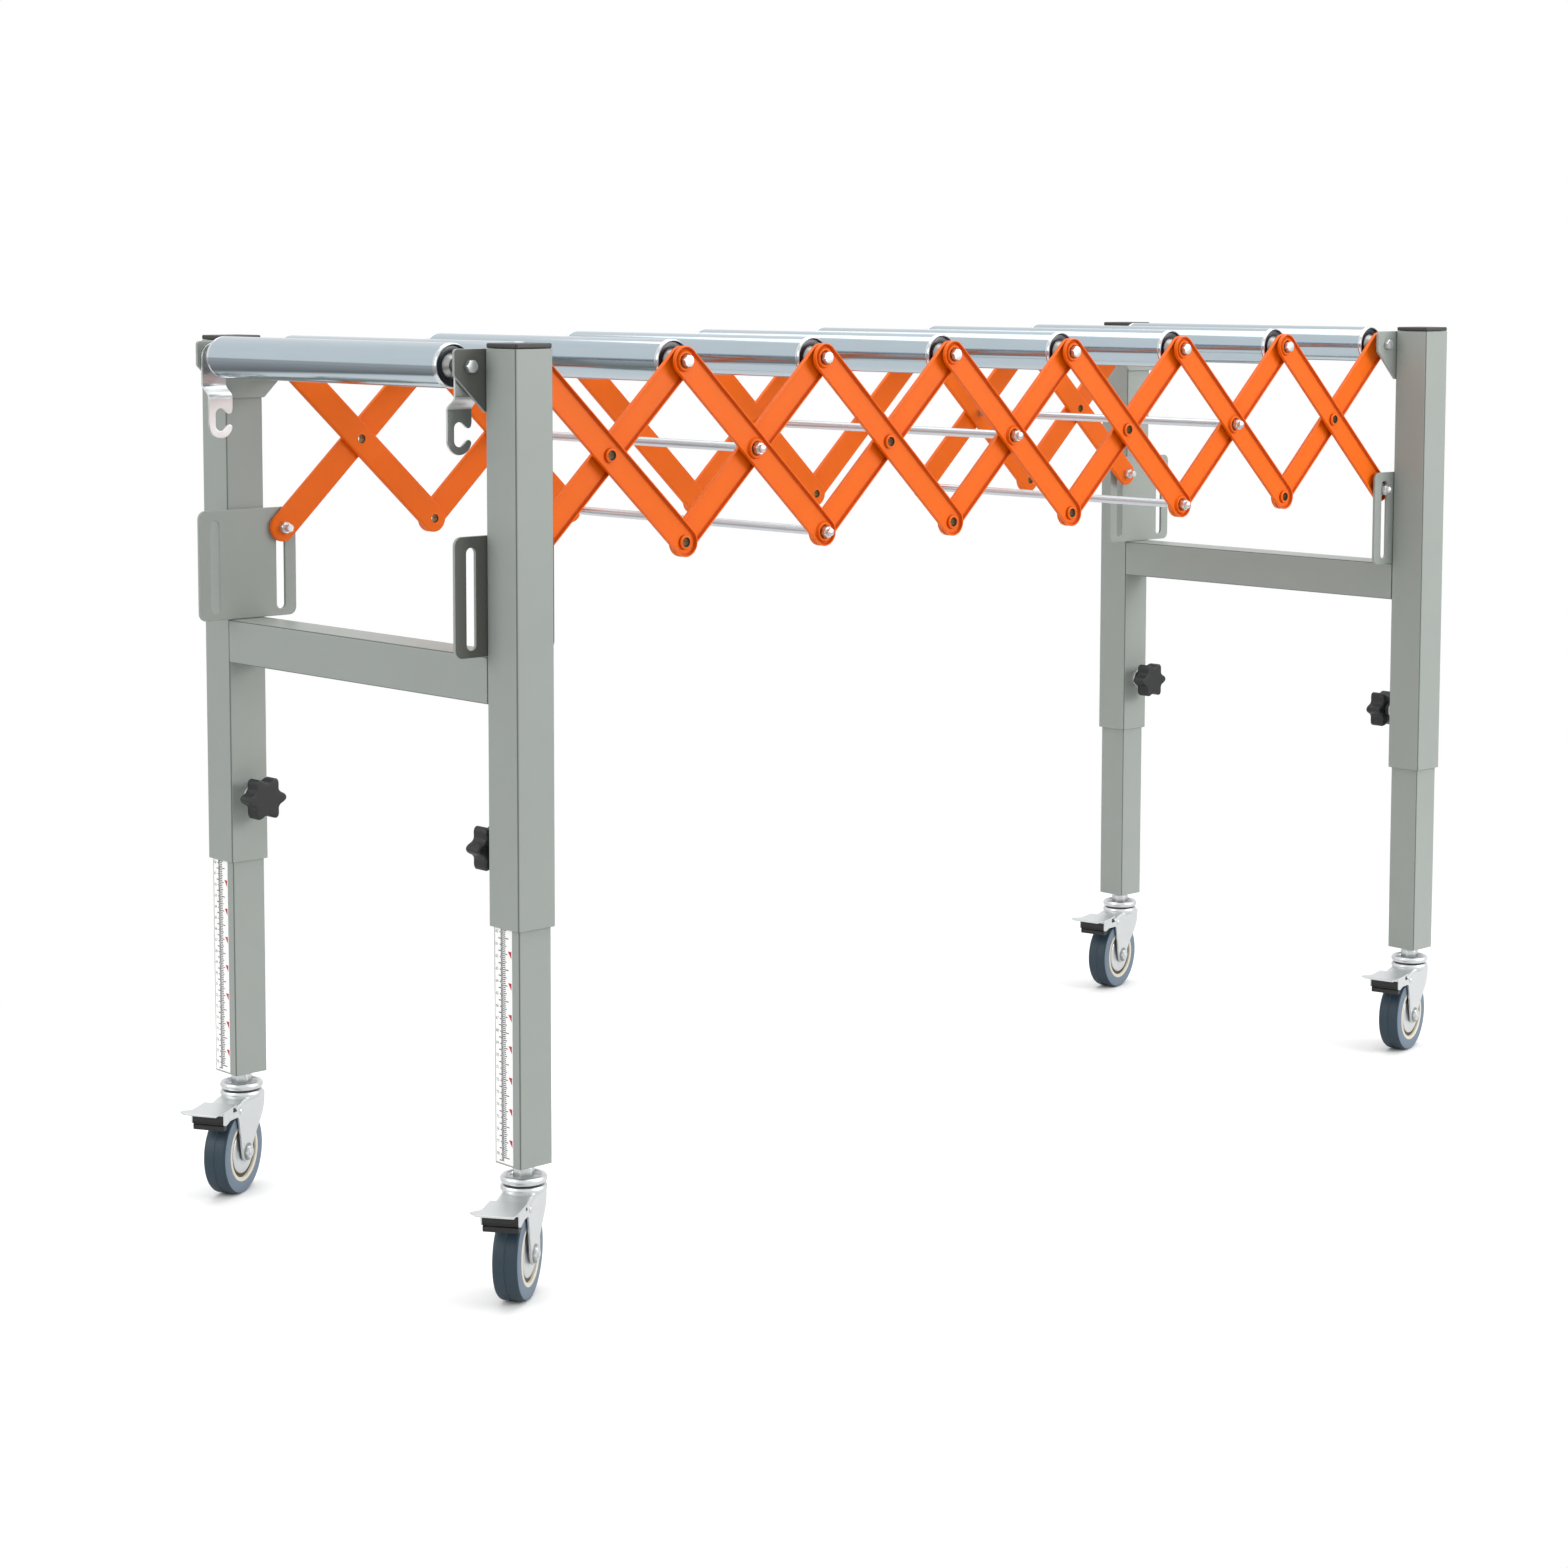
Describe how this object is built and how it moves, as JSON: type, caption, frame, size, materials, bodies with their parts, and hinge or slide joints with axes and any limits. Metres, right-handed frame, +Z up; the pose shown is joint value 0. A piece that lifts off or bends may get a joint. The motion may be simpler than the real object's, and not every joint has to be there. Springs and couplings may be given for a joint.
{
  "type": "expandable roller conveyor",
  "caption": "Folding roller conveyor: scissor lattice of pressed links between two H frames on telescoping legs and braked casters, with end hooks.",
  "frame": {"origin": "on the floor, midway between the two end frames and on the middle plane of the rollers", "axes": "+X from the hooked left frame to the right one, along the line of travel; +Z up; -Y is the near side in the picture"},
  "size_m": [1.3267, 0.4833, 0.76],
  "materials": {
    "frame_paint": "satin grey green powder coat",
    "link_paint": "semi-gloss orange powder coat",
    "zinc": "bright zinc plate",
    "black_plastic": "satin moulded",
    "wheel_rubber": "blue grey tread on a cream core"
  },
  "bodies": {
    "left_frame": {"left_near_post": "frame_paint", "left_far_post": "frame_paint", "left_near_cap": "black_plastic", "left_far_cap": "black_plastic", "left_crossbar": "frame_paint"},
    "right_frame": {"right_near_post": "frame_paint", "right_far_post": "frame_paint", "right_near_cap": "black_plastic", "right_far_cap": "black_plastic", "right_crossbar": "frame_paint"},
    "down_1": {"down_links_1": "link_paint"},
    "up_1": {"up_links_1": "link_paint"},
    "down_2": {"down_links_2": "link_paint"},
    "up_2": {"up_links_2": "link_paint"},
    "down_3": {"down_links_3": "link_paint"},
    "up_3": {"up_links_3": "link_paint"},
    "down_4": {"down_links_4": "link_paint"},
    "up_4": {"up_links_4": "link_paint"},
    "down_5": {"down_links_5": "link_paint"},
    "up_5": {"up_links_5": "link_paint"},
    "down_6": {"down_links_6": "link_paint"},
    "up_6": {"up_link_6_near": "link_paint", "up_link_6_far": "link_paint"},
    "down_7": {"down_links_7": "link_paint"},
    "up_7": {"up_links_7": "link_paint"},
    "roller_1": {"roller_1": "zinc"},
    "roller_2": {"roller_2": "zinc"},
    "roller_3": {"roller_3": "zinc"},
    "roller_4": {"roller_4": "zinc"},
    "roller_5": {"roller_5": "zinc"},
    "roller_6": {"roller_6": "zinc"},
    "roller_7": {"roller_7": "zinc"},
    "roller_8": {"roller_8": "zinc"},
    "roller_9": {"roller_9": "zinc"},
    "left_near_leg": {"left_near_leg": "frame_paint", "left_near_caster_head": "zinc"},
    "left_near_fork": {"left_near_fork": "zinc"},
    "left_near_wheel": {"left_near_wheel": "wheel_rubber"},
    "left_near_brake_pedal": {"left_near_brake_pedal": "zinc"},
    "left_near_knob": {"left_near_knob": "black_plastic"},
    "left_far_leg": {"left_far_leg": "frame_paint", "left_far_caster_head": "zinc"},
    "left_far_fork": {"left_far_fork": "zinc"},
    "left_far_wheel": {"left_far_wheel": "wheel_rubber"},
    "left_far_brake_pedal": {"left_far_brake_pedal": "zinc"},
    "left_far_knob": {"left_far_knob": "black_plastic"},
    "right_near_leg": {"right_near_leg": "frame_paint", "right_near_caster_head": "zinc"},
    "right_near_fork": {"right_near_fork": "zinc"},
    "right_near_wheel": {"right_near_wheel": "wheel_rubber"},
    "right_near_brake_pedal": {"right_near_brake_pedal": "zinc"},
    "right_near_knob": {"right_near_knob": "black_plastic"},
    "right_far_leg": {"right_far_leg": "frame_paint", "right_far_caster_head": "zinc"},
    "right_far_fork": {"right_far_fork": "zinc"},
    "right_far_wheel": {"right_far_wheel": "wheel_rubber"},
    "right_far_brake_pedal": {"right_far_brake_pedal": "zinc"},
    "right_far_knob": {"right_far_knob": "black_plastic"},
    "near_hook": {"near_hook": "zinc"},
    "far_hook": {"far_hook": "zinc"}
  },
  "joints": [
    {"name": "extension", "type": "hinge", "parent": "left_frame", "child": "down_1", "pos_m": [-0.56478, 0, 0.742], "axis": [0, 1, 0], "range_deg": [0, 36.1]},
    {"name": "pivot_bottom_1", "type": "hinge", "parent": "down_1", "child": "up_2", "pos_m": [-0.40342, 0, 0.591], "axis": [0, 1, 0], "range_deg": [-72.4, 0]},
    {"name": "pivot_top_2", "type": "hinge", "parent": "up_2", "child": "down_3", "pos_m": [-0.24205, 0, 0.742], "axis": [0, 1, 0], "range_deg": [0, 72.4]},
    {"name": "pivot_bottom_3", "type": "hinge", "parent": "down_3", "child": "up_4", "pos_m": [-0.08068, 0, 0.591], "axis": [0, 1, 0], "range_deg": [-72.4, 0]},
    {"name": "pivot_top_4", "type": "hinge", "parent": "up_4", "child": "down_5", "pos_m": [0.08068, 0, 0.742], "axis": [0, 1, 0], "range_deg": [0, 72.4]},
    {"name": "pivot_bottom_5", "type": "hinge", "parent": "down_5", "child": "up_6", "pos_m": [0.24205, 0, 0.591], "axis": [0, 1, 0], "range_deg": [-72.4, 0]},
    {"name": "pivot_top_6", "type": "hinge", "parent": "up_6", "child": "down_7", "pos_m": [0.40342, 0, 0.742], "axis": [0, 1, 0], "range_deg": [0, 72.4]},
    {"name": "pivot_middle_7", "type": "hinge", "parent": "down_7", "child": "up_7", "pos_m": [0.4841, 0, 0.6665], "axis": [0, 1, 0], "range_deg": [-72.4, 0]},
    {"name": "pivot_right_end", "type": "hinge", "parent": "up_7", "child": "right_frame", "pos_m": [0.56478, 0, 0.742], "axis": [0, 1, 0], "range_deg": [0, 36.3]},
    {"name": "pivot_middle_1", "type": "hinge", "parent": "down_1", "child": "up_1", "pos_m": [-0.4841, 0, 0.6665], "axis": [0, 1, 0], "range_deg": [-72.4, 0]},
    {"name": "pivot_middle_2", "type": "hinge", "parent": "up_2", "child": "down_2", "pos_m": [-0.32273, 0, 0.6665], "axis": [0, 1, 0], "range_deg": [0, 72.4]},
    {"name": "pivot_middle_3", "type": "hinge", "parent": "down_3", "child": "up_3", "pos_m": [-0.16137, 0, 0.6665], "axis": [0, 1, 0], "range_deg": [-72.4, 0]},
    {"name": "pivot_middle_4", "type": "hinge", "parent": "up_4", "child": "down_4", "pos_m": [0, 0, 0.6665], "axis": [0, 1, 0], "range_deg": [0, 72.4]},
    {"name": "pivot_middle_5", "type": "hinge", "parent": "down_5", "child": "up_5", "pos_m": [0.16137, 0, 0.6665], "axis": [0, 1, 0], "range_deg": [-72.4, 0]},
    {"name": "pivot_middle_6", "type": "hinge", "parent": "up_6", "child": "down_6", "pos_m": [0.32273, 0, 0.6665], "axis": [0, 1, 0], "range_deg": [0, 72.4]},
    {"name": "roller_1_spin", "type": "hinge", "parent": "left_frame", "child": "roller_1", "pos_m": [-0.63278, 0, 0.742], "axis": [0, 1, 0], "continuous": true},
    {"name": "roller_2_spin", "type": "hinge", "parent": "down_1", "child": "roller_2", "pos_m": [-0.56478, 0, 0.742], "axis": [0, 1, 0], "continuous": true},
    {"name": "roller_3_spin", "type": "hinge", "parent": "up_1", "child": "roller_3", "pos_m": [-0.40342, 0, 0.742], "axis": [0, 1, 0], "continuous": true},
    {"name": "roller_4_spin", "type": "hinge", "parent": "down_3", "child": "roller_4", "pos_m": [-0.24205, 0, 0.742], "axis": [0, 1, 0], "continuous": true},
    {"name": "roller_5_spin", "type": "hinge", "parent": "up_3", "child": "roller_5", "pos_m": [-0.08068, 0, 0.742], "axis": [0, 1, 0], "continuous": true},
    {"name": "roller_6_spin", "type": "hinge", "parent": "up_4", "child": "roller_6", "pos_m": [0.08068, 0, 0.742], "axis": [0, 1, 0], "continuous": true},
    {"name": "roller_7_spin", "type": "hinge", "parent": "up_5", "child": "roller_7", "pos_m": [0.24205, 0, 0.742], "axis": [0, 1, 0], "continuous": true},
    {"name": "roller_8_spin", "type": "hinge", "parent": "down_7", "child": "roller_8", "pos_m": [0.40342, 0, 0.742], "axis": [0, 1, 0], "continuous": true},
    {"name": "roller_9_spin", "type": "hinge", "parent": "up_7", "child": "roller_9", "pos_m": [0.56478, 0, 0.742], "axis": [0, 1, 0], "continuous": true},
    {"name": "left_near_leg_slide", "type": "slide", "parent": "left_frame", "child": "left_near_leg", "axis": [0, 0, -1], "range_m": [-0.19, 0.04]},
    {"name": "left_near_knob_turn", "type": "hinge", "parent": "left_frame", "child": "left_near_knob", "pos_m": [-0.59878, -0.182, 0.3557], "axis": [0, 1, 0], "continuous": true},
    {"name": "left_near_swivel", "type": "hinge", "parent": "left_near_leg", "child": "left_near_fork", "pos_m": [-0.59878, -0.201, 0.0895], "axis": [0, 0, 1], "continuous": true},
    {"name": "left_near_wheel_spin", "type": "hinge", "parent": "left_near_fork", "child": "left_near_wheel", "pos_m": [-0.61352, -0.21132, 0.0375], "axis": [-0.5736, 0.8192, 0], "continuous": true},
    {"name": "left_near_brake", "type": "hinge", "parent": "left_near_fork", "child": "left_near_brake_pedal", "pos_m": [-0.6422, -0.2314, 0.0795], "axis": [-0.5736, 0.8192, 0], "range_deg": [-12, 12]},
    {"name": "left_far_leg_slide", "type": "slide", "parent": "left_frame", "child": "left_far_leg", "axis": [0, 0, -1], "range_m": [-0.19, 0.04]},
    {"name": "left_far_knob_turn", "type": "hinge", "parent": "left_frame", "child": "left_far_knob", "pos_m": [-0.59878, 0.182, 0.3557], "axis": [0, 1, 0], "continuous": true},
    {"name": "left_far_swivel", "type": "hinge", "parent": "left_far_leg", "child": "left_far_fork", "pos_m": [-0.59878, 0.201, 0.0895], "axis": [0, 0, 1], "continuous": true},
    {"name": "left_far_wheel_spin", "type": "hinge", "parent": "left_far_fork", "child": "left_far_wheel", "pos_m": [-0.61437, 0.192, 0.0375], "axis": [-0.5, 0.866, 0], "continuous": true},
    {"name": "left_far_brake", "type": "hinge", "parent": "left_far_fork", "child": "left_far_brake_pedal", "pos_m": [-0.64468, 0.1745, 0.0795], "axis": [-0.5, 0.866, 0], "range_deg": [-12, 12]},
    {"name": "right_near_leg_slide", "type": "slide", "parent": "right_frame", "child": "right_near_leg", "axis": [0, 0, -1], "range_m": [-0.19, 0.04]},
    {"name": "right_near_knob_turn", "type": "hinge", "parent": "right_frame", "child": "right_near_knob", "pos_m": [0.59878, -0.182, 0.3557], "axis": [0, 1, 0], "continuous": true},
    {"name": "right_near_swivel", "type": "hinge", "parent": "right_near_leg", "child": "right_near_fork", "pos_m": [0.59878, -0.201, 0.0895], "axis": [0, 0, 1], "continuous": true},
    {"name": "right_near_wheel_spin", "type": "hinge", "parent": "right_near_fork", "child": "right_near_wheel", "pos_m": [0.58124, -0.20505, 0.0375], "axis": [-0.225, 0.9744, 0], "continuous": true},
    {"name": "right_near_brake", "type": "hinge", "parent": "right_near_fork", "child": "right_near_brake_pedal", "pos_m": [0.54714, -0.21292, 0.0795], "axis": [-0.225, 0.9744, 0], "range_deg": [-12, 12]},
    {"name": "right_far_leg_slide", "type": "slide", "parent": "right_frame", "child": "right_far_leg", "axis": [0, 0, -1], "range_m": [-0.19, 0.04]},
    {"name": "right_far_knob_turn", "type": "hinge", "parent": "right_frame", "child": "right_far_knob", "pos_m": [0.59878, 0.182, 0.3557], "axis": [0, 1, 0], "continuous": true},
    {"name": "right_far_swivel", "type": "hinge", "parent": "right_far_leg", "child": "right_far_fork", "pos_m": [0.59878, 0.201, 0.0895], "axis": [0, 0, 1], "continuous": true},
    {"name": "right_far_wheel_spin", "type": "hinge", "parent": "right_far_fork", "child": "right_far_wheel", "pos_m": [0.58121, 0.1971, 0.0375], "axis": [-0.2164, 0.9763, 0], "continuous": true},
    {"name": "right_far_brake", "type": "hinge", "parent": "right_far_fork", "child": "right_far_brake_pedal", "pos_m": [0.54704, 0.18953, 0.0795], "axis": [-0.2164, 0.9763, 0], "range_deg": [-12, 12]},
    {"name": "near_hook_swing", "type": "hinge", "parent": "left_frame", "child": "near_hook", "pos_m": [-0.63278, -0.1777, 0.742], "axis": [0, 1, 0], "range_deg": [-30, 90]},
    {"name": "far_hook_swing", "type": "hinge", "parent": "left_frame", "child": "far_hook", "pos_m": [-0.63278, 0.1777, 0.742], "axis": [0, 1, 0], "range_deg": [-30, 90]}
  ],
  "couplings": [
    {"joint": "pivot_bottom_1", "follows": "extension", "ratio": -2},
    {"joint": "pivot_top_2", "follows": "extension", "ratio": 2},
    {"joint": "pivot_bottom_3", "follows": "extension", "ratio": -2},
    {"joint": "pivot_top_4", "follows": "extension", "ratio": 2},
    {"joint": "pivot_bottom_5", "follows": "extension", "ratio": -2},
    {"joint": "pivot_top_6", "follows": "extension", "ratio": 2},
    {"joint": "pivot_middle_7", "follows": "extension", "ratio": -2},
    {"joint": "pivot_right_end", "follows": "extension", "ratio": 1},
    {"joint": "pivot_middle_1", "follows": "extension", "ratio": -2},
    {"joint": "pivot_middle_2", "follows": "extension", "ratio": 2},
    {"joint": "pivot_middle_3", "follows": "extension", "ratio": -2},
    {"joint": "pivot_middle_4", "follows": "extension", "ratio": 2},
    {"joint": "pivot_middle_5", "follows": "extension", "ratio": -2},
    {"joint": "pivot_middle_6", "follows": "extension", "ratio": 2}
  ]
}
